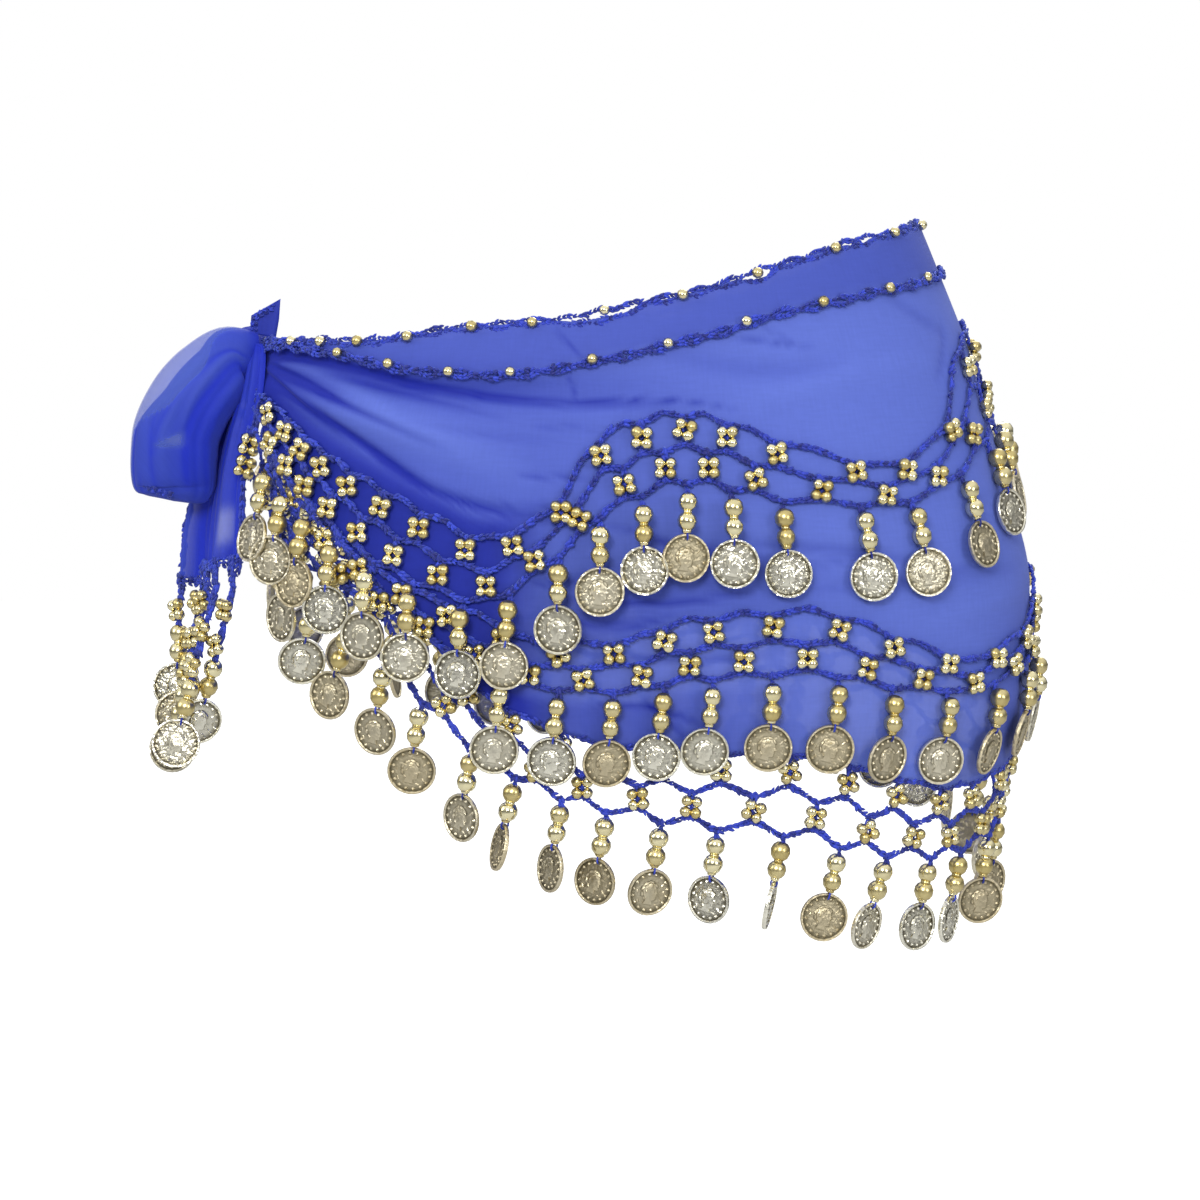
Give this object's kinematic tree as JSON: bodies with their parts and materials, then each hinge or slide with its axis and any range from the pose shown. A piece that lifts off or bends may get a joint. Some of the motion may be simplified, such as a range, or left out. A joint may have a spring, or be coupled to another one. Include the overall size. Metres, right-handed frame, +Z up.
{
  "type": "belly dance hip scarf",
  "caption": "Worn chiffon hip scarf tied in a knot and bow at one hip, with crocheted bead bands on the cloth and rows of bead and coin drops hanging from a net hem.",
  "frame": {"origin": "on the axis of the hips' hollow, level with the knot, where the wearer's hips hold the scarf", "axes": "+Z up, the wearer faces -Y, and the knot is on the -X hip"},
  "size_m": [0.3807, 0.2538, 0.2955],
  "materials": {
    "chiffon": "sheer royal blue chiffon, soft sheen",
    "crochet": "matte royal blue crochet thread",
    "beads": "polished pale gold",
    "coins": "stamped, bright champagne gold"
  },
  "bodies": {
    "root": {"cloth_front": "chiffon", "cloth_back": "chiffon", "edge_chain_front": "crochet", "edge_chain_back": "crochet", "second_chain_front": "crochet", "second_chain_back": "crochet", "upper_band_front": "coins", "upper_band_back": "coins", "middle_band_front": "coins", "middle_band_back": "coins", "hem_net_front": "crochet", "hem_net_back": "crochet", "hem_fringe_front": "coins", "hem_fringe_back": "coins", "knot": "chiffon", "bow_loop": "chiffon", "tail": "chiffon", "tail_fringe": "coins", "tip": "beads"}
  },
  "joints": []
}
